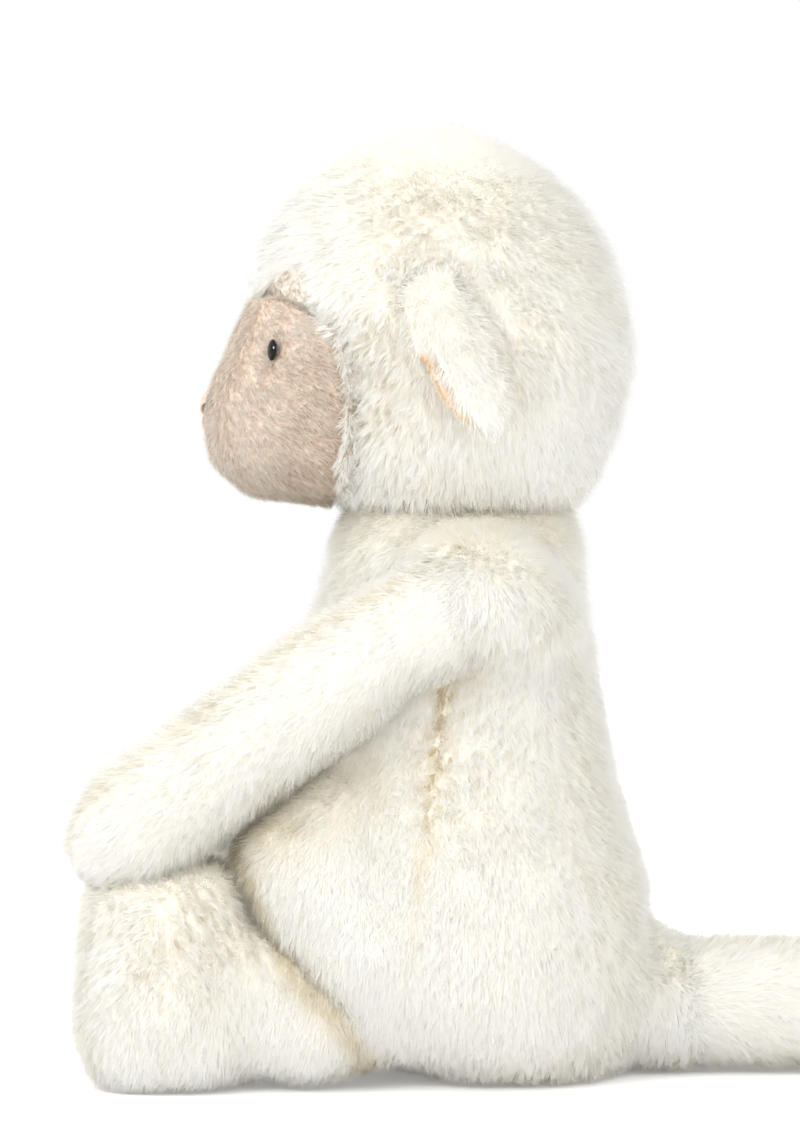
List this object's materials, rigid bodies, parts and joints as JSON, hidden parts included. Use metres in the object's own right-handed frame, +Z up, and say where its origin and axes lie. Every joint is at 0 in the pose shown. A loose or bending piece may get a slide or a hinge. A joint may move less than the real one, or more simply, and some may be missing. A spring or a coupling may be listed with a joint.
{
  "type": "plush sheep",
  "caption": "Seated plush sheep with a short-pile face, drooping ears, arms resting on its feet and a thick tail; head, arms, legs, ears and tail move.",
  "frame": {"origin": "middle of the flat under the seat, on the ground", "axes": "+Z up, the sheep faces -Y, its left side is +X"},
  "size_m": [0.1126, 0.2172, 0.2238],
  "materials": {
    "wool": "matte",
    "short_pile": "matte",
    "ear_lining": "matte",
    "eye_black": "gloss",
    "nose_thread": "satin",
    "stuffing": "matte",
    "pouch_cloth": "matte",
    "washer_plastic": "matte"
  },
  "bodies": {
    "torso": {"belly_panel": "wool", "back_panel": "wool", "torso_stuffing": "stuffing", "pellet_pouch": "pouch_cloth"},
    "head": {"head_left_panel": "wool", "head_right_panel": "wool", "face_left_panel": "short_pile", "face_right_panel": "short_pile", "head_stuffing": "stuffing", "left_eye": "eye_black", "left_eye_washer": "washer_plastic", "right_eye": "eye_black", "right_eye_washer": "washer_plastic", "nose_stitching": "nose_thread"},
    "left_ear": {"left_ear_back": "wool", "left_ear_lining": "ear_lining"},
    "right_ear": {"right_ear_back": "wool", "right_ear_lining": "ear_lining"},
    "left_arm": {"left_arm_outer_panel": "wool", "left_arm_inner_panel": "wool", "left_arm_stuffing": "stuffing"},
    "right_arm": {"right_arm_outer_panel": "wool", "right_arm_inner_panel": "wool", "right_arm_stuffing": "stuffing"},
    "left_leg": {"left_leg_outer_panel": "wool", "left_leg_inner_panel": "wool", "left_leg_stuffing": "stuffing"},
    "right_leg": {"right_leg_outer_panel": "wool", "right_leg_inner_panel": "wool", "right_leg_stuffing": "stuffing"},
    "tail": {"tail_left_panel": "wool", "tail_right_panel": "wool", "tail_stuffing": "stuffing"}
  },
  "joints": [
    {"name": "neck_nod", "type": "hinge", "parent": "torso", "child": "head", "pos_m": [0, -0.01498, 0.1146], "axis": [1, 0, 0], "range_deg": [-20, 20]},
    {"name": "left_shoulder", "type": "hinge", "parent": "torso", "child": "left_arm", "pos_m": [0.03735, -0.01089, 0.11304], "axis": [-0.9063, 0, 0.4226], "range_deg": [0, 60]},
    {"name": "right_shoulder", "type": "hinge", "parent": "torso", "child": "right_arm", "pos_m": [-0.03735, -0.01089, 0.11304], "axis": [-0.9063, 0, -0.4226], "range_deg": [0, 60]},
    {"name": "left_hip", "type": "hinge", "parent": "torso", "child": "left_leg", "pos_m": [0.0291, -0.03597, 0.016], "axis": [1, 0, 0], "range_deg": [0, 75]},
    {"name": "right_hip", "type": "hinge", "parent": "torso", "child": "right_leg", "pos_m": [-0.0291, -0.03597, 0.016], "axis": [1, 0, 0], "range_deg": [0, 75]},
    {"name": "left_ear_lift", "type": "hinge", "parent": "head", "child": "left_ear", "pos_m": [0.03956, -0.02254, 0.18576], "axis": [0, -1, 0], "range_deg": [0, 70]},
    {"name": "right_ear_lift", "type": "hinge", "parent": "head", "child": "right_ear", "pos_m": [-0.03956, -0.02254, 0.18576], "axis": [0, 1, 0], "range_deg": [0, 70]},
    {"name": "tail_lift", "type": "hinge", "parent": "torso", "child": "tail", "pos_m": [0, 0.03601, 0.016], "axis": [1, 0, 0], "range_deg": [0, 60]}
  ]
}
